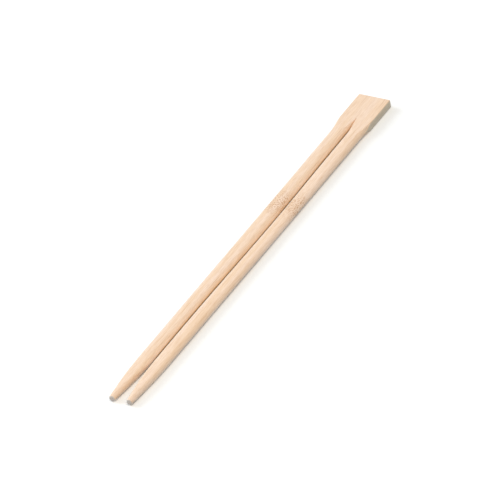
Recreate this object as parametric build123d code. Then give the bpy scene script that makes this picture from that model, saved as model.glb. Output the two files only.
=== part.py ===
from build123d import *
from math import acos, degrees, sqrt
import os

# A joined pair of bamboo chopsticks, milled from one flat strip of bamboo.
#
# The strip is planed to an even thickness and its edges are softened. Two form cutters then run
# along it, one above and one below, and leave two sticks with crowned faces, round outer sides and
# sloping inner flanks. Near the end of the strip they lift out along an arc. What they leave there
# is the flat head that holds the pair together, with a pointed groove running into it. The free
# ends are sharpened.
#
# Frame: +X along the sticks towards the head, +Z up, origin under the middle of the pair.

# Driving dimensions, in millimetres

# The strip and its head
LENGTH = 240.0            # head end to tips
THICKNESS = 4.0           # planed strip, as left at the head
HEAD_LENGTH = 16.8        # head end to the point of the groove
CHEEK = 0.4               # how far the head stands out beyond each stick
EDGE_RADIUS = 0.5         # softened edges of the head

# The section of each stick
STICK_WIDTH = 7.3         # across one stick, at mid thickness
FLAT_WIDTH = 2.0          # what is left of the planed faces along the stick
CROWN_RADIUS = 10.0       # of the crowned faces at both sides of that flat
INNER_SHOULDER = 2.0      # what the sloping flank at the slit takes up of the width
OUTER_SHOULDER = 1.6      # what the round outer side takes up of it
SLIT_WIDTH = 0.7          # between the sticks, at mid thickness

# The form cutters
CUTTER_RADIUS = 25.0      # cutter axis to the middle of the strip's thickness
SLITTING_OVERCUT = 1.2    # how far the pointed tooth between the sticks passes that middle
SIDE_OVERCUT = 0.3        # how far the teeth along the outer sides pass it

# The tips
TIP_DIAMETER = 2.9        # blunt end of each stick
TIP_EDGE_RADIUS = 0.6     # its rounded rim
TAPER_LENGTH = 34.0       # tip to where the taper is as wide as the stick
TIP_OFFSET = 0.4          # how far each tip is ground off its stick's centre line, outwards

# Sizes that follow
STICK_PITCH = STICK_WIDTH + SLIT_WIDTH
PAIR_WIDTH = STICK_PITCH + STICK_WIDTH
HEAD_WIDTH = PAIR_WIDTH + 2 * CHEEK
BEYOND = THICKNESS        # how far the cutting shapes reach out of the wood

# Run-out: the cutters lift from LIFT_X on, and the slitting tooth leaves the wood a head's length
# before the end
SLITTING_RADIUS = CUTTER_RADIUS + SLITTING_OVERCUT
AXIS_TO_FACE = CUTTER_RADIUS - THICKNESS / 2
AXIS_TO_BEYOND = AXIS_TO_FACE - BEYOND
LIFT_X = LENGTH - HEAD_LENGTH - sqrt(SLITTING_RADIUS**2 - AXIS_TO_FACE**2)
LIFT_ANGLE = degrees(acos(AXIS_TO_BEYOND / SLITTING_RADIUS))


def planed_strip():
    """The blank: a flat strip from the tips at X = 0 to the head end, mid thickness at Z = 0."""
    strip = Box(LENGTH, HEAD_WIDTH, THICKNESS, align=(Align.MIN, Align.CENTER, Align.CENTER))
    return fillet(strip.edges(), EDGE_RADIUS)


def cutter_profile():
    """What the upper cutter takes off, seen along the strip: all that lies above the sticks.

    Its lower edge runs from the point of the slitting tooth over one stick (the inner flank, the
    crown and the outer side) and out past the edge of the strip. The crest of the crown clears the
    planed face, which leaves a flat there. The other half mirrors it.
    """
    inner_side = SLIT_WIDTH / 2
    outer_side = inner_side + STICK_WIDTH
    outside = HEAD_WIDTH / 2 + BEYOND
    above = THICKNESS / 2 + BEYOND

    half_crown = (STICK_WIDTH - INNER_SHOULDER - OUTER_SHOULDER) / 2
    crown_centre = THICKNESS / 2 - sqrt(CROWN_RADIUS**2 - (FLAT_WIDTH / 2) ** 2)
    crown_edge = crown_centre + sqrt(CROWN_RADIUS**2 - half_crown**2)
    crown_start = (inner_side + INNER_SHOULDER, crown_edge)
    crown_end = (outer_side - OUTER_SHOULDER, crown_edge)

    with BuildSketch() as profile:
        with BuildLine():
            Line((0, -SLITTING_OVERCUT), (inner_side, 0))
            crown = RadiusArc(crown_start, crown_end, CROWN_RADIUS)
            TangentArc(crown_start, (inner_side, 0), tangent=-(crown % 0))
            TangentArc(crown_end, (outer_side, 0), tangent=crown % 1)
            Polyline(
                (outer_side, 0),
                (outer_side, -SIDE_OVERCUT),
                (outside, -SIDE_OVERCUT),
                (outside, above),
                (0, above),
            )
            mirror(about=Plane.YZ)
        make_face()
    return profile.sketch


def milled_waste():
    """The upper cutter's whole path: straight along the sticks, then up and out on an arc."""
    across = Plane(origin=(LIFT_X, 0, 0), x_dir=(0, 1, 0), z_dir=(1, 0, 0))
    profile = across * cutter_profile()
    straight = extrude(profile, amount=-(LIFT_X + BEYOND))
    cutter_axis = Axis((LIFT_X, 0, CUTTER_RADIUS), (0, -1, 0))
    run_out = revolve(profile, axis=cutter_axis, revolution_arc=LIFT_ANGLE)
    return straight + run_out


def sharpened_tip():
    """A blunt cone on the tip's slanting axis, from its rounded end to where it clears the stick."""
    widening = (STICK_WIDTH - TIP_DIAMETER) / 2 / TAPER_LENGTH
    slant = TIP_OFFSET / TAPER_LENGTH
    cone_length = TAPER_LENGTH + BEYOND
    tip_axis = STICK_PITCH / 2 + TIP_OFFSET
    blunt_end = Pos(tip_axis, 0) * Circle(TIP_DIAMETER / 2)
    wide_end = Pos(tip_axis - slant * cone_length, 0) * Circle(TIP_DIAMETER / 2 + widening * cone_length)
    cone = loft([Plane.YZ * blunt_end, Plane.YZ.offset(cone_length) * wide_end])
    rim = cone.edges().group_by(Axis.X)[0]
    return fillet(rim, TIP_EDGE_RADIUS)


def sharpening_waste():
    """All that lies round the cone, on the side of one stick, as far as the cone reaches."""
    cone = sharpened_tip()
    beside = Box(
        cone.bounding_box().max.X + BEYOND,
        HEAD_WIDTH / 2 + BEYOND,
        THICKNESS + 2 * BEYOND,
        align=(Align.MIN, Align.MIN, Align.CENTER),
    )
    return Pos(-BEYOND, 0, 0) * beside - cone


def chopstick_pair():
    """The strip less what the upper and lower cutters and the sharpening take off."""
    upper = milled_waste()
    one_tip = sharpening_waste()
    pair = planed_strip() - upper - mirror(upper, about=Plane.XY)
    pair = pair - one_tip - mirror(one_tip, about=Plane.XZ)
    return Pos(-LENGTH / 2, 0, THICKNESS / 2) * pair


os.makedirs("parts", exist_ok=True)
export_step(chopstick_pair(), "parts/chopstick_pair.step")
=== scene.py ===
import math

import bmesh
import bpy
import numpy as np
from mathutils import Matrix, Vector


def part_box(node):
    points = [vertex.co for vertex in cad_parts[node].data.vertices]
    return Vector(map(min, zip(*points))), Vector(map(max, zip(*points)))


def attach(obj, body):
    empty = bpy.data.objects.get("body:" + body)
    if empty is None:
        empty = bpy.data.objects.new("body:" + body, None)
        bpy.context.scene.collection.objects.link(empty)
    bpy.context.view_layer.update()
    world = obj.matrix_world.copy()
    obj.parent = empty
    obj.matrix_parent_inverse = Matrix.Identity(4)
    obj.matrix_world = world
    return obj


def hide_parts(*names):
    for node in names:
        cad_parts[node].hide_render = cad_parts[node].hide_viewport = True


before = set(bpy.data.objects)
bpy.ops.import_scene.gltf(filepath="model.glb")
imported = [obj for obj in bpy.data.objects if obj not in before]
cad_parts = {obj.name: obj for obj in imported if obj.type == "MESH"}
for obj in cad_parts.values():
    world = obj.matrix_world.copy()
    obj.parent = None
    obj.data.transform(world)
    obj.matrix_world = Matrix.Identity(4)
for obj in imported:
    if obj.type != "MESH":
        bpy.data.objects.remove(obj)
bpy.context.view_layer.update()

# A joined pair of bamboo chopsticks, milled from one strip, lying on a white table.
#
# Lengths are in millimetres unless a comment says metres, and MM turns them into metres. The sections
# are worked out in the strip's own frame: x runs from the tips at 0 to the head end, y across the
# pair, and z is measured from mid thickness.

MM = 0.001
SOLID = "chopstick_pair"
low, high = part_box(SOLID)
LENGTH, HEAD_WIDTH, THICKNESS = (high - low) / MM

# The strip's head and the section of each stick
HEAD_LENGTH = 16.8          # head end to the point of the groove
EDGE_RADIUS = 0.5           # softened edges of the head
STICK_WIDTH = 7.3           # across one stick, at mid thickness
FLAT_WIDTH = 2.0            # what is left of the planed faces along the stick
CROWN_RADIUS = 10.0         # of the crowned faces at both sides of that flat
INNER_SHOULDER = 2.0        # what the sloping flank at the slit takes up of the width
OUTER_SHOULDER = 1.6        # what the round outer side takes up of it
SLIT_WIDTH = 0.7            # between the sticks, at mid thickness
STICK_PITCH = STICK_WIDTH + SLIT_WIDTH

# The form cutters, which lift out of the wood along an arc before the head
CUTTER_RADIUS = 25.0        # cutter axis to mid thickness
SLITTING_OVERCUT = 1.2      # how far the pointed tooth between the sticks passes mid thickness
SIDE_OVERCUT = 0.3          # how far the teeth along the outer sides pass it
SLITTING_RADIUS = CUTTER_RADIUS + SLITTING_OVERCUT
AXIS_TO_FACE = CUTTER_RADIUS - THICKNESS / 2
GROOVE_POINT = LENGTH - HEAD_LENGTH
LIFT_X = GROOVE_POINT - math.sqrt(SLITTING_RADIUS**2 - AXIS_TO_FACE**2)
SLIT_END = LIFT_X + math.sqrt(SLITTING_RADIUS**2 - CUTTER_RADIUS**2)

# The sharpened tips
TIP_DIAMETER = 2.9          # blunt end of each stick
TIP_EDGE_RADIUS = 0.6       # its rounded rim
TAPER_LENGTH = 34.0         # tip to where the taper is as wide as the stick
TAPER_BELLY = 1.4           # 1 for a straight taper, more for a bellied one
TIP_OFFSET = 0.4            # how far each tip is ground off its stick's centre line, outwards
TIP_AXIS = STICK_PITCH / 2 + TIP_OFFSET

# The slit isn't quite straight: halfway along, it bows towards -Y
SLIT_BOW = 0.75             # how far it strays there
SLIT_BOW_X = 140.0          # where it strays most, from the tips
SLIT_BOW_REACH = 75.0       # how far from there it is straight again

# What tumbling leaves of the edges where two cuts meet
CUT_SOFTENING = 0.1
TAPER_SOFTENING = 0.4

# The mesh
FAR = 1000.0                # a height that stands for no wood, or for no cut
TINY = 1e-6                 # keeps a division from dividing by nothing
HALVINGS = 40               # steps of the search for the surface
ROUND_STEPS = 8             # stations round the edge of the tips, and of the head end
TIP_STEPS = 72              # stations along the tips
TIP_MARGIN = 10.0           # how far past the taper those go on
STICK_STEPS = 74            # from there to the cutters' lift
RUN_OUT_STEPS = 84          # from the lift to the flat head
RUN_OUT_MARGIN = 1.5        # how far past the point of the groove those go on
HEAD_STEPS = 12             # along the rest of the head
RAYS = 145                  # round each stick
WAY_STEPS = 2001            # steps in which the way round is added up
CORNERS = (0.08, 0.43, 0.57, 0.92)   # shares of the way round where the section turns sharply
CORNER_SPREAD = 0.03        # share of the way over which rays crowd there
CORNER_CROWDING = 2.5       # how many more rays are there, for each one elsewhere
CAP_RINGS = (0.0, 0.35, 0.7)         # sizes of the copies of an end section that close the end
SEAM_GAP = 1e-6             # metres, within which points are one
SLIVER = 1e-7               # metres, below which an edge is dissolved

# The bamboo's fibres. Both pitches are drawn coarser than the real ones, so that they show
BUNDLE_PITCH = 0.65         # between bundles of fibres
BUNDLE_LENGTH = 24.0
BUNDLE_CORE = 0.12          # radius of a bundle's dark core, in pitches
BUNDLE_REACH = 0.42         # radius at which it has faded out
BUNDLE_STRENGTH = 0.85      # how dark the darkest is, from 0 to 1
FIBRE_PITCH = 0.2           # between single fibres
FIBRE_LENGTH = 5.0
FIBRE_RANGE = (0.42, 0.75)  # values of their noise at which they start to darken, and are darkest
FIBRE_STRENGTH = 0.7
FIBRE_RELIEF = 0.02         # how far fibres stand up
BUMP_STRENGTH = 0.35
DRIFT = 1.2                 # how far fibres drift aside along the stick
DRIFT_LENGTH = 45.0         # between one drift and the next
STREAK_PITCH = 3.0          # between broad streaks of warmer growth
STREAK_LENGTH = 60.0
STREAK_RANGE = (0.3, 0.7)   # values of their noise that are palest and warmest
STREAK_START = (8.5, 11.5, 15.5)     # where in the pattern of streaks the strip was cut, in streaks

# The stem's node, which crosses the strip and tangles its fibres
STEM_NODE_X = 153.5         # from the tips
STEM_NODE_LENGTH = 26.0     # how far the tangle reaches along the strip
STEM_NODE_WANDER = 4.0      # how far its middle line strays
STEM_NODE_BAY = 5.0         # between one straying and the next
SWIRL = 1.0                 # how far fibres swirl aside there
SWIRL_SIZE = 3.0
FLECK_SIZE = 0.7
FLECK_RANGE = (0.47, 0.62)  # values of their noise at which flecks start to darken, and are darkest
FLECK_STRENGTH = 0.9

# What the cuts leave on the wood, and the shade painted in the slit, on the sawn sides and on the cross
# cuts
SLIT_SHADE_REACH = 0.2  # how far past the slit's width its painted shade reaches
SLIT_SHADE_FADE = 16.5            # over which the painted shade in the slit fades out towards the point of the groove
UPPER_SHADE_SHARE = 0.7           # of the painted shade on the sawn sides: what the upper edge has of it
HEAD_END_SHADE_SHARE = 0.45       # of the grey and painted shade on the cross cuts: what the head end has of it
CROSS_CUT_RANGE = (0.3, 0.8)         # how squarely a face looks along the stick, for no and full grey

# Bare bamboo's colours and gloss, and the colours of the painted shade
PALE_STRAW = "#F9DDC6"
WARM_STRAW = "#F4D3B2"
FIBRE_TAN = "#D9AF86"
FLECK_BROWN = "#C4915F"
# the cross cuts' grey: partly the end grain's own tone, partly painted shade, most on the tips' blunt ends
END_GREY_AND_SHADE = "#D2CCC6"
SIDE_SHADE_WASH = "#CCDDDF"       # painted shade: it multiplies the wood's own colour on the sawn sides
# painted shade in the slit, where the sticks' walls shade each other
SLIT_SHADE_GOLD = "#CC942C"
ROUGHNESS = (0.42, 0.62)    # of the ground, and of the fibres on it
BAMBOO_IOR = 1.5
SHEEN = 0.8                 # of the fine ends of fibres that milling raises
SHEEN_ROUGHNESS = 0.4

# The photograph's view, practically without perspective
FRAME_WIDTH = 223.5         # across the picture, at the pair
AIM = Vector((-0.48, -0.83, 2.03))   # what is in the middle of the picture
LENS = 1500.0
SENSOR = 36.0
VIEW_AZIMUTH = -56.03       # degrees
VIEW_ELEVATION = 35.07
VIEW_ROLL = -9.23

# The white table and the white surroundings
TABLE_SIZE = 4.0            # metres
TABLE_GREY = "#B0B4B8"      # colour by which the table lights the pair
TABLE_GAIN = 1.05           # how white the eye sees it: a little past 1, as its far parts get less light
SKY_COLOUR = "#F0F7FF"
SKY_LIGHT = 0.54            # strength at which the sky lights the pair
SKY_GAIN = 1.15             # strength at which the eye sees it: past 1, so that its tint is white too

# Soft boxes: name, azimuth and elevation in degrees, watts, colour
SOFT_BOX_DISTANCE = 2.0     # metres
SOFT_BOX_SIZE = 1.45        # metres
SOFT_BOXES = (
    ("soft_box_behind", 180, 25, 25.0, "#EAF5FF"),
    ("soft_box_front", -45, 60, 20.5, "#FFF3DE"),
)


def linear(hex_colour):
    """An sRGB hex colour as the linear values that Blender works in."""
    values = [int(hex_colour[i:i + 2], 16) / 255 for i in (1, 3, 5)]
    curve = [v / 12.92 if v <= 0.04045 else ((v + 0.055) / 1.055) ** 2.4 for v in values]
    return (*curve, 1.0)


def towards(azimuth, elevation):
    """The direction to something seen from the pair, with azimuth 0 at -Y and 90 at +X, in degrees."""
    azimuth, elevation = math.radians(azimuth), math.radians(elevation)
    across = math.cos(elevation)
    return Vector((math.sin(azimuth) * across, -math.cos(azimuth) * across, math.sin(elevation)))


def model_x(x):
    """A place along the strip, in millimetres from the tips, as the model's X in metres."""
    return (x - LENGTH / 2) * MM


def add_node(tree, kind, inputs=None, **settings):
    """Adds a node with its settings. Each input gets a value, or a link from (node, output)."""
    node = tree.nodes.new(kind)
    for name, value in settings.items():
        setattr(node, name, value)
    for name, value in (inputs or {}).items():
        if isinstance(value, tuple) and isinstance(value[0], bpy.types.Node):
            source, output = value
            tree.links.new(source.outputs[output], node.inputs[name])
        else:
            node.inputs[name].default_value = value
    return node


def smooth_min(a, b, width):
    """The lower of two heights. Where they differ by less than width, a parabola joins them."""
    share = np.clip(0.5 + 0.5 * (b - a) / width, 0, 1)
    return b + (a - b) * share - width * share * (1 - share)


def planed_strip(x, y):
    """Half thickness of the strip: half the planed thickness, less a round along sides and head end.

    The round is a ball of the edge radius rolled along the edge: the radius, less the root of its
    square minus the squares of how far the point has passed the ball's centre along x and y.
    """
    past_end = np.maximum(x - (LENGTH - EDGE_RADIUS), 0)
    past_side = np.maximum(np.abs(y) - (HEAD_WIDTH / 2 - EDGE_RADIUS), 0)
    left = EDGE_RADIUS**2 - past_end**2 - past_side**2
    flat = THICKNESS / 2 - EDGE_RADIUS
    return np.where(left >= 0, flat + np.sqrt(np.maximum(left, 0)), -FAR)


def cutter_profile(y):
    """Height of the cutter's edge over mid thickness, across the pair.

    Over a stick it is the arc of the crown, then on each side an arc that leaves it at a tangent
    and comes down to mid thickness at the stick's side. Towards the middle follows the straight
    flank of the pointed slitting tooth, and on the outside the flat end of the side tooth.
    """
    y = np.abs(y)
    inner_side = SLIT_WIDTH / 2
    outer_side = inner_side + STICK_WIDTH
    half_crown = (STICK_WIDTH - INNER_SHOULDER - OUTER_SHOULDER) / 2
    crest = inner_side + INNER_SHOULDER + half_crown
    across = np.abs(y - crest)
    crown_centre = THICKNESS / 2 - math.sqrt(CROWN_RADIUS**2 - (FLAT_WIDTH / 2) ** 2)
    crown = crown_centre + np.sqrt(np.maximum(CROWN_RADIUS**2 - across**2, 0))
    edge = np.array([half_crown, crown_centre + math.sqrt(CROWN_RADIUS**2 - half_crown**2)])
    outwards = (edge - [0, crown_centre]) / CROWN_RADIUS

    def shoulder(width):
        chord = np.array([width, -edge[1]])
        radius = -chord @ chord / (2 * outwards @ chord)
        centre = edge - radius * outwards
        return centre[1] + np.sqrt(np.maximum(radius**2 - (across - centre[0]) ** 2, 0))

    stick = np.where(y < crest, shoulder(INNER_SHOULDER), shoulder(OUTER_SHOULDER))
    stick = np.where(across <= half_crown, crown, stick)
    slitting_tooth = -SLITTING_OVERCUT * (1 - y / inner_side)
    return np.where(y < inner_side, slitting_tooth, np.where(y > outer_side, -SIDE_OVERCUT, stick))


def milled_cut(x, y):
    """Height of the milled surface: the cutter's profile, straight along the sticks as far as the
    lift, and from there on swept about the cutter's axis: the axis height, less the root of the
    squared distance from axis to profile minus the squared distance from the lift.
    """
    from_lift = np.maximum(x - LIFT_X, 0)
    squared = (CUTTER_RADIUS - cutter_profile(y)) ** 2 - from_lift**2
    return np.where(squared > 0, CUTTER_RADIUS - np.sqrt(np.maximum(squared, 0)), FAR)


def half_height(x, y):
    """How far the wood reaches above and below mid thickness: the lower of strip and cut."""
    return smooth_min(planed_strip(x, y), milled_cut(x, y), CUT_SOFTENING)


def tip_radius(x):
    """Radius of the sharpened tip: from the blunt end's to the stick's along the taper, and on as a
    cone, less the quarter circle of the blunt end's rim. What is still to come of the taper, as a
    share, is raised to the power of the belly.
    """
    growth = (STICK_WIDTH - TIP_DIAMETER) / 2
    to_come = 1 - x / TAPER_LENGTH
    grown = np.where(to_come > 0, 1 - np.maximum(to_come, 0) ** TAPER_BELLY, 1 - to_come)
    to_rim = np.maximum(TIP_EDGE_RADIUS - x, 0)
    rim = TIP_EDGE_RADIUS - np.sqrt(TIP_EDGE_RADIUS**2 - to_rim**2)
    return TIP_DIAMETER / 2 + growth * grown - rim


def stations():
    """Places along x, close together where the shape changes: at the tips, the run-out and the end."""
    turn = np.linspace(0, np.pi / 2, ROUND_STEPS)
    tips_end = TAPER_LENGTH + TIP_MARGIN
    run_out_end = GROOVE_POINT + RUN_OUT_MARGIN
    return np.unique(np.concatenate([
        TIP_EDGE_RADIUS * (1 - np.cos(turn)),
        np.linspace(TIP_EDGE_RADIUS, tips_end, TIP_STEPS),
        np.linspace(tips_end, LIFT_X, STICK_STEPS),
        np.linspace(LIFT_X, run_out_end, RUN_OUT_STEPS),
        [SLIT_END],
        np.linspace(run_out_end, LENGTH - EDGE_RADIUS, HEAD_STEPS),
        LENGTH - EDGE_RADIUS * (1 - np.sin(turn)),
    ]))


def ray_shares():
    """Shares of the way round a stick, from 0 to 1, gathered at the four corners of the section.

    Rays stand as close as 1 plus a bell curve at each corner says, added up along the way.
    """
    way = np.linspace(0, 1, WAY_STEPS)
    bells = sum(np.exp(-((way - corner) / CORNER_SPREAD) ** 2) for corner in CORNERS)
    crowding = 1 + CORNER_CROWDING * bells
    passed = np.cumsum(crowding) - crowding[0]
    return np.interp(np.linspace(0, 1, RAYS), passed / passed[-1], way)


def half_pair():
    """Points of one stick and its half of the head, as a grid: stations along x, rays round it.

    In each section, rays fan out from the stick's centre, which runs out to the tip's axis along
    the taper. A ray ends where it leaves the milled wood, which repeated halving finds for all rays
    at once, at the radius of the sharpened tip or at the middle plane of the pair. On the stick the
    fan is a full turn. In the head it opens by the angle to the edge at the middle plane, where the
    other half joins. Shrunken copies of the first and last section close the ends.
    """
    x = stations()[:, None]
    centre = STICK_PITCH / 2 + TIP_OFFSET * (1 - np.clip(x / TAPER_LENGTH, 0, 1))
    web = np.where(x >= SLIT_END, np.maximum(half_height(x, 0 * x), 0), 0)
    opening = np.arctan2(web, centre)
    angle = opening + (2 * np.pi - 2 * opening) * ray_shares()[None, :]
    inwards, upwards = np.cos(angle), np.sin(angle)

    inside = np.zeros_like(angle)
    outside = np.minimum(centre / np.maximum(inwards, TINY), HEAD_WIDTH)
    for _ in range(HALVINGS):
        reach = (inside + outside) / 2
        in_wood = reach * np.abs(upwards) <= half_height(x, centre - reach * inwards)
        inside = np.where(in_wood, reach, inside)
        outside = np.where(in_wood, outside, reach)
    inside = smooth_min(inside, tip_radius(x), TAPER_SOFTENING)

    y = centre - inside * inwards
    z = inside * upwards
    x = x + 0 * y
    size = np.array(CAP_RINGS)[:, None]
    tip_y = TIP_AXIS + size * (y[0] - TIP_AXIS)
    grid_x = np.concatenate([x[0] + 0 * tip_y, x, x[-1] + 0 * tip_y])
    grid_y = np.concatenate([tip_y, y, size[::-1] * y[-1]])
    grid_z = np.concatenate([size * z[0], z, size[::-1] * z[-1]])
    return np.stack([grid_x - LENGTH / 2, grid_y, grid_z + THICKNESS / 2], axis=-1) * MM


def slit_bow(points):
    """How far each point strays across the pair: along x a smooth step up to the bow and down again,
    which is 3 s^2 - 2 s^3 of the share s of the way, full at the middle and fading evenly to nothing
    at the sides of the strip.
    """
    x, y, _ = points.T / MM
    way = 1 - np.clip(np.abs(x + LENGTH / 2 - SLIT_BOW_X) / SLIT_BOW_REACH, 0, 1)
    fading = 1 - np.abs(y) / (HEAD_WIDTH / 2)
    return -SLIT_BOW * MM * way**2 * (3 - 2 * way) * fading


def grid_faces(rows, columns, first):
    """Quads of a grid of points, row by row, whose first point has the index first."""
    corner = first + np.arange(rows - 1)[:, None] * columns + np.arange(columns - 1)[None, :]
    corner = corner.ravel()
    return np.stack([corner, corner + 1, corner + columns + 1, corner + columns], axis=-1)


def milled_pair():
    """The whole pair: one half, its mirror image across y, and their seams and poles closed."""
    half = half_pair()
    rows, columns, _ = half.shape
    halves = np.concatenate([half.reshape(-1, 3), half.reshape(-1, 3) * [1, -1, 1]])
    halves[:, 1] += slit_bow(halves)
    faces = np.concatenate([grid_faces(rows, columns, 0), grid_faces(rows, columns, rows * columns)])

    mesh = bpy.data.meshes.new("joined_chopsticks")
    mesh.from_pydata(halves.tolist(), [], faces.tolist())
    shell = bmesh.new()
    shell.from_mesh(mesh)
    bmesh.ops.remove_doubles(shell, verts=shell.verts, dist=SEAM_GAP)
    bmesh.ops.dissolve_degenerate(shell, edges=shell.edges, dist=SLIVER)
    bmesh.ops.recalc_face_normals(shell, faces=shell.faces)
    shell.to_mesh(mesh)
    shell.free()
    mesh.shade_smooth()
    pair = bpy.data.objects.new("joined_chopsticks", mesh)
    bpy.context.scene.collection.objects.link(pair)
    return pair


def lengthwise(length, pitch):
    """Scale of a pattern that repeats by length along the stick and by pitch across it."""
    return (1 / (length * MM), 1 / (pitch * MM), 1 / (pitch * MM))


def near_stem_node(tree, place, at):
    """How near a point is to the stem's node: 1 on its middle line, which wanders, to 0 out of reach."""
    wander = add_node(tree, "ShaderNodeTexNoise",
                      {"Vector": (place, "Object"), "Scale": 1 / (STEM_NODE_BAY * MM), "Detail": 2.0})
    line = add_node(tree, "ShaderNodeMapRange", {
        "Value": (wander, "Fac"),
        "To Min": model_x(STEM_NODE_X + STEM_NODE_WANDER),
        "To Max": model_x(STEM_NODE_X - STEM_NODE_WANDER),
    })
    away = add_node(tree, "ShaderNodeMath", {0: (at, "X"), 1: (line, 0)}, operation="SUBTRACT")
    away = add_node(tree, "ShaderNodeMath", {0: (away, 0)}, operation="ABSOLUTE")
    return add_node(tree, "ShaderNodeMapRange", {
        "Value": (away, 0),
        "From Max": STEM_NODE_LENGTH / 2 * MM,
        "To Min": 1.0,
        "To Max": 0.0,
    }, interpolation_type="SMOOTHSTEP")


def course_of_fibres(tree, place, near_node):
    """Places moved aside as the fibres run: a slow drift along the stick, and swirls at the node."""
    drift = add_node(tree, "ShaderNodeTexNoise",
                     {"Vector": (place, "Object"), "Scale": 1 / (DRIFT_LENGTH * MM), "Detail": 1.0})
    swirl = add_node(tree, "ShaderNodeTexNoise",
                     {"Vector": (place, "Object"), "Scale": 1 / (SWIRL_SIZE * MM), "Detail": 2.0})
    swirl = add_node(tree, "ShaderNodeVectorMath",
                     {0: (swirl, "Color"), "Scale": (near_node, 0)}, operation="SCALE")
    swirl = add_node(tree, "ShaderNodeVectorMath",
                     {0: (swirl, 0), "Scale": SWIRL * MM}, operation="SCALE")
    aside = add_node(tree, "ShaderNodeVectorMath",
                     {0: (drift, "Color"), 1: (DRIFT * MM,) * 3, 2: (swirl, 0)}, operation="MULTIPLY_ADD")
    return add_node(tree, "ShaderNodeVectorMath", {0: (place, "Object"), 1: (aside, 0)}, operation="ADD")


def growth_streaks(tree, course):
    """The ground between the fibres: broad soft streaks of pale and of warmer straw."""
    lay = add_node(tree, "ShaderNodeMapping", {
        "Vector": (course, 0),
        "Location": STREAK_START,
        "Scale": lengthwise(STREAK_LENGTH, STREAK_PITCH),
    })
    growth = add_node(tree, "ShaderNodeTexNoise", {"Vector": (lay, 0), "Scale": 1.0, "Detail": 2.0})
    warm = add_node(tree, "ShaderNodeMapRange", {
        "Value": (growth, "Fac"),
        "From Min": STREAK_RANGE[0],
        "From Max": STREAK_RANGE[1],
    }, interpolation_type="SMOOTHSTEP")
    return add_node(tree, "ShaderNodeMix",
                    {0: (warm, 0), 6: linear(PALE_STRAW), 7: linear(WARM_STRAW)}, data_type="RGBA")


def fibre_bundles(tree, course):
    """Bundles of fibres, as long cells, and the dark core of each, from 1 in its middle to 0."""
    lay = add_node(tree, "ShaderNodeMapping",
                   {"Vector": (course, 0), "Scale": lengthwise(BUNDLE_LENGTH, BUNDLE_PITCH)})
    bundle = add_node(tree, "ShaderNodeTexVoronoi", {"Vector": (lay, 0), "Scale": 1.0})
    core = add_node(tree, "ShaderNodeMapRange", {
        "Value": (bundle, "Distance"),
        "From Min": BUNDLE_CORE,
        "From Max": BUNDLE_REACH,
        "To Min": 1.0,
        "To Max": 0.0,
    }, interpolation_type="SMOOTHSTEP")
    return bundle, core


def single_fibres(tree, course):
    """Single fibres: a noise drawn out along the stick."""
    lay = add_node(tree, "ShaderNodeMapping",
                   {"Vector": (course, 0), "Scale": lengthwise(FIBRE_LENGTH, FIBRE_PITCH)})
    return add_node(tree, "ShaderNodeTexNoise", {"Vector": (lay, 0), "Scale": 1.0, "Detail": 3.0})


def dark_fibres(tree, bundle, core, fibre):
    """How dark the fibres are: the cores, each bundle with its own strength, or the single fibres."""
    strength = add_node(tree, "ShaderNodeSeparateColor", {"Color": (bundle, "Color")})
    dark = add_node(tree, "ShaderNodeMath", {0: (core, 0), 1: (strength, "Red")}, operation="MULTIPLY")
    dark = add_node(tree, "ShaderNodeMath", {0: (dark, 0), 1: BUNDLE_STRENGTH}, operation="MULTIPLY")
    fine = add_node(tree, "ShaderNodeMapRange", {
        "Value": (fibre, "Fac"),
        "From Min": FIBRE_RANGE[0],
        "From Max": FIBRE_RANGE[1],
        "To Max": FIBRE_STRENGTH,
    })
    return add_node(tree, "ShaderNodeMath", {0: (dark, 0), 1: (fine, 0)}, operation="MAXIMUM")


def node_flecks(tree, course, near_node):
    """The flecks into which the fibres tangle at the stem's node."""
    fleck = add_node(tree, "ShaderNodeTexNoise",
                     {"Vector": (course, 0), "Scale": 1 / (FLECK_SIZE * MM), "Detail": 2.0})
    fleck = add_node(tree, "ShaderNodeMapRange", {
        "Value": (fleck, "Fac"),
        "From Min": FLECK_RANGE[0],
        "From Max": FLECK_RANGE[1],
        "To Max": FLECK_STRENGTH,
    })
    return add_node(tree, "ShaderNodeMath", {0: (fleck, 0), 1: (near_node, 0)}, operation="MULTIPLY")


def cross_cuts_and_painted_shade(tree, place, at):
    """Cuts across the fibres, grey partly their own and partly painted shade: faces along the stick, less
    so at the head end.
    """
    facing = add_node(tree, "ShaderNodeSeparateXYZ", {"Vector": (place, "Normal")})
    facing = add_node(tree, "ShaderNodeMath", {0: (facing, "X")}, operation="ABSOLUTE")
    across = add_node(tree, "ShaderNodeMapRange", {
        "Value": (facing, 0),
        "From Min": CROSS_CUT_RANGE[0],
        "From Max": CROSS_CUT_RANGE[1],
    }, interpolation_type="SMOOTHSTEP")
    share = add_node(tree, "ShaderNodeMapRange", {
        "Value": (at, "X"),
        "From Min": model_x(0),
        "From Max": model_x(LENGTH),
        "To Min": 1.0,
        "To Max": HEAD_END_SHADE_SHARE,
    })
    return add_node(tree, "ShaderNodeMath", {0: (across, 0), 1: (share, 0)}, operation="MULTIPLY")


def sawn_sides_painted_shade(tree, at):
    """Painted shade on the sawn sides of the head, which is wider than the sticks, less so towards the
    upper edge.
    """
    off_middle = add_node(tree, "ShaderNodeMath", {0: (at, "Y")}, operation="ABSOLUTE")
    side = add_node(tree, "ShaderNodeMapRange", {
        "Value": (off_middle, 0),
        "From Min": (HEAD_WIDTH / 2 - EDGE_RADIUS / 2) * MM,
        "From Max": HEAD_WIDTH / 2 * MM,
    })
    share = add_node(tree, "ShaderNodeMapRange", {
        "Value": (at, "Z"),
        "From Max": THICKNESS * MM,
        "To Min": 1.0,
        "To Max": UPPER_SHADE_SHARE,
    })
    return add_node(tree, "ShaderNodeMath", {0: (side, 0), 1: (share, 0)}, operation="MULTIPLY")


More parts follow.
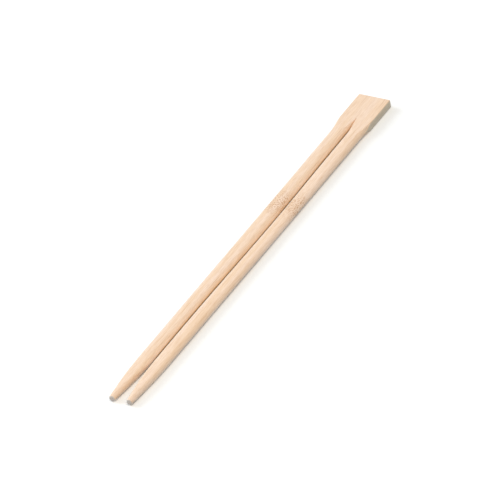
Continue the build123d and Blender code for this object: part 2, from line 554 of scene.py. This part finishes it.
def slit_painted_shade(tree, at):
    """Painted shade in the slit, in dark gold, where the walls of the two sticks shade each other.

    It is near the slit's middle line, bow included, below the planed faces, and fades out where the
    tooth runs out towards the point of the groove.
    """
    from_bow = add_node(tree, "ShaderNodeMath",
                        {0: (at, "X"), 1: model_x(SLIT_BOW_X)}, operation="SUBTRACT")
    from_bow = add_node(tree, "ShaderNodeMath", {0: (from_bow, 0)}, operation="ABSOLUTE")
    bow = add_node(tree, "ShaderNodeMapRange", {
        "Value": (from_bow, 0),
        "From Max": SLIT_BOW_REACH * MM,
        "To Min": SLIT_BOW * MM,
        "To Max": 0.0,
    }, interpolation_type="SMOOTHSTEP")
    off_line = add_node(tree, "ShaderNodeMath", {0: (at, "Y"), 1: (bow, 0)}, operation="ADD")
    off_line = add_node(tree, "ShaderNodeMath", {0: (off_line, 0)}, operation="ABSOLUTE")
    near_line = add_node(tree, "ShaderNodeMapRange", {
        "Value": (off_line, 0),
        "From Min": SLIT_WIDTH / 2 * MM,
        "From Max": (SLIT_WIDTH / 2 + SLIT_SHADE_REACH) * MM,
        "To Min": 1.0,
        "To Max": 0.0,
    })
    height = add_node(tree, "ShaderNodeMath",
                      {0: (at, "Z"), 1: THICKNESS / 2 * MM}, operation="SUBTRACT")
    height = add_node(tree, "ShaderNodeMath", {0: (height, 0)}, operation="ABSOLUTE")
    below_faces = add_node(tree, "ShaderNodeMapRange", {
        "Value": (height, 0),
        "From Min": THICKNESS / 2 * MM,
        "From Max": THICKNESS / 4 * MM,
    })
    before_point = add_node(tree, "ShaderNodeMapRange", {
        "Value": (at, "X"),
        "From Min": model_x(GROOVE_POINT - SLIT_SHADE_FADE),
        "From Max": model_x(GROOVE_POINT),
        "To Min": 1.0,
        "To Max": 0.0,
    })
    slit = add_node(tree, "ShaderNodeMath", {0: (near_line, 0), 1: (below_faces, 0)}, operation="MULTIPLY")
    return add_node(tree, "ShaderNodeMath", {0: (slit, 0), 1: (before_point, 0)}, operation="MULTIPLY")


def bare_milled_bamboo():
    """Bamboo, planed, milled and tumbled, with no finish.

    The eye sees pale straw with a soft sheen. Bundles of darker fibres run through it lengthwise:
    the cuts along the stick show them as long thin spindles, and the blunt ends as dots. Round the
    stem's node they tangle into flecks. The cuts across the fibres are greyer, partly in their own
    tone and partly by painted shade; the sawn sides of the head get a grey of painted shade, and the
    slit a dark gold of painted shade.
    """
    material = bpy.data.materials.new("bare_milled_bamboo")
    material.use_nodes = True
    tree = material.node_tree
    shader = tree.nodes["Principled BSDF"]
    place = add_node(tree, "ShaderNodeTexCoord")
    at = add_node(tree, "ShaderNodeSeparateXYZ", {"Vector": (place, "Object")})
    near_node = near_stem_node(tree, place, at)
    course = course_of_fibres(tree, place, near_node)
    bundle, core = fibre_bundles(tree, course)
    fibre = single_fibres(tree, course)

    # What lies on the ground, from the lowest up: where it is, its colour, and how it is laid on
    marks = (
        # the cross cuts' grey is partly painted shade; the sawn sides' grey and the slit's gold are
        # painted shade
        (cross_cuts_and_painted_shade(tree, place, at), END_GREY_AND_SHADE, "MIX"),
        (dark_fibres(tree, bundle, core, fibre), FIBRE_TAN, "MIX"),
        (sawn_sides_painted_shade(tree, at), SIDE_SHADE_WASH, "MULTIPLY"),
        (node_flecks(tree, course, near_node), FLECK_BROWN, "MIX"),
        (slit_painted_shade(tree, at), SLIT_SHADE_GOLD, "MIX"),
    )
    wood = growth_streaks(tree, course)
    for mark, colour, laid_on in marks:
        wood = add_node(tree, "ShaderNodeMix", {0: (mark, 0), 6: (wood, 2), 7: linear(colour)},
                        data_type="RGBA", blend_type=laid_on)
    tree.links.new(wood.outputs[2], shader.inputs["Base Color"])

    # Fibres stand up a little and are duller than the ground
    relief = add_node(tree, "ShaderNodeMath", {0: (fibre, "Fac"), 1: (core, 0)}, operation="ADD")
    bump = add_node(tree, "ShaderNodeBump",
                    {"Height": (relief, 0), "Strength": BUMP_STRENGTH, "Distance": FIBRE_RELIEF * MM})
    tree.links.new(bump.outputs["Normal"], shader.inputs["Normal"])
    dull = add_node(tree, "ShaderNodeMapRange",
                    {"Value": (fibre, "Fac"), "To Min": ROUGHNESS[0], "To Max": ROUGHNESS[1]})
    tree.links.new(dull.outputs[0], shader.inputs["Roughness"])
    shader.inputs["IOR"].default_value = BAMBOO_IOR
    shader.inputs["Sheen Weight"].default_value = SHEEN
    shader.inputs["Sheen Roughness"].default_value = SHEEN_ROUGHNESS
    return material


def seen_by_eye(tree):
    """1 for rays that show the surroundings, straight, mirrored or through glass, and 0 for light."""
    path = add_node(tree, "ShaderNodeLightPath")
    seen = add_node(tree, "ShaderNodeMath",
                    {0: (path, "Is Camera Ray"), 1: (path, "Is Glossy Ray")}, operation="MAXIMUM")
    return add_node(tree, "ShaderNodeMath",
                    {0: (seen, 0), 1: (path, "Is Transmission Ray")}, operation="MAXIMUM")


def white_table():
    """A matt white table. It is white to the eye, and lights the pair from below as a greyer one would."""
    bpy.ops.mesh.primitive_plane_add(size=TABLE_SIZE)
    table = bpy.context.object
    table.name = "white_table"
    material = bpy.data.materials.new("matt_white_table")
    material.use_nodes = True
    tree = material.node_tree
    tree.nodes.clear()
    past_white = (TABLE_GAIN, TABLE_GAIN, TABLE_GAIN, 1.0)
    tone = add_node(tree, "ShaderNodeMix",
                    {0: (seen_by_eye(tree), 0), 6: linear(TABLE_GREY), 7: past_white}, data_type="RGBA")
    matt = add_node(tree, "ShaderNodeBsdfDiffuse", {"Color": (tone, 2)})
    add_node(tree, "ShaderNodeOutputMaterial", {"Surface": (matt, 0)})
    table.data.materials.append(material)
    return table


def studio_light():
    """White surroundings, dimmer as a light than to the eye, and two large soft boxes."""
    world = bpy.data.worlds.new("white_studio")
    bpy.context.scene.world = world
    world.use_nodes = True
    tree = world.node_tree
    tree.nodes.clear()
    strength = add_node(tree, "ShaderNodeMapRange",
                        {"Value": (seen_by_eye(tree), 0), "To Min": SKY_LIGHT, "To Max": SKY_GAIN})
    sky = add_node(tree, "ShaderNodeBackground",
                   {"Color": linear(SKY_COLOUR), "Strength": (strength, 0)})
    add_node(tree, "ShaderNodeOutputWorld", {"Surface": (sky, 0)})

    for name, azimuth, elevation, energy, colour in SOFT_BOXES:
        lamp = bpy.data.lights.new(name, "AREA")
        lamp.shape = "DISK"
        lamp.size = SOFT_BOX_SIZE
        lamp.energy = energy
        lamp.color = linear(colour)[:3]
        soft_box = bpy.data.objects.new(name, lamp)
        direction = towards(azimuth, elevation)
        soft_box.location = direction * SOFT_BOX_DISTANCE
        soft_box.rotation_mode = "QUATERNION"
        soft_box.rotation_quaternion = direction.to_track_quat("Z", "Y")
        bpy.context.scene.collection.objects.link(soft_box)


def photo_camera():
    """A camera far away with a long lens, turned and rolled as the photograph's view is."""
    back = towards(VIEW_AZIMUTH, VIEW_ELEVATION)
    lens = bpy.data.cameras.new("photo_camera")
    lens.lens = LENS
    lens.sensor_width = SENSOR
    camera = bpy.data.objects.new("photo_camera", lens)
    distance = FRAME_WIDTH * LENS / SENSOR * MM
    lens.clip_end = 2 * distance
    turn = back.to_track_quat("Z", "Y").to_matrix() @ Matrix.Rotation(math.radians(VIEW_ROLL), 3, "Z")
    camera.matrix_world = Matrix.Translation(AIM * MM + back * distance) @ turn.to_4x4()
    bpy.context.scene.collection.objects.link(camera)
    bpy.context.scene.camera = camera


pair = milled_pair()
pair.data.materials.append(bare_milled_bamboo())
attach(pair, "root")
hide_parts(SOLID)

white_table()
studio_light()
photo_camera()
bpy.context.scene.view_settings.view_transform = "Standard"
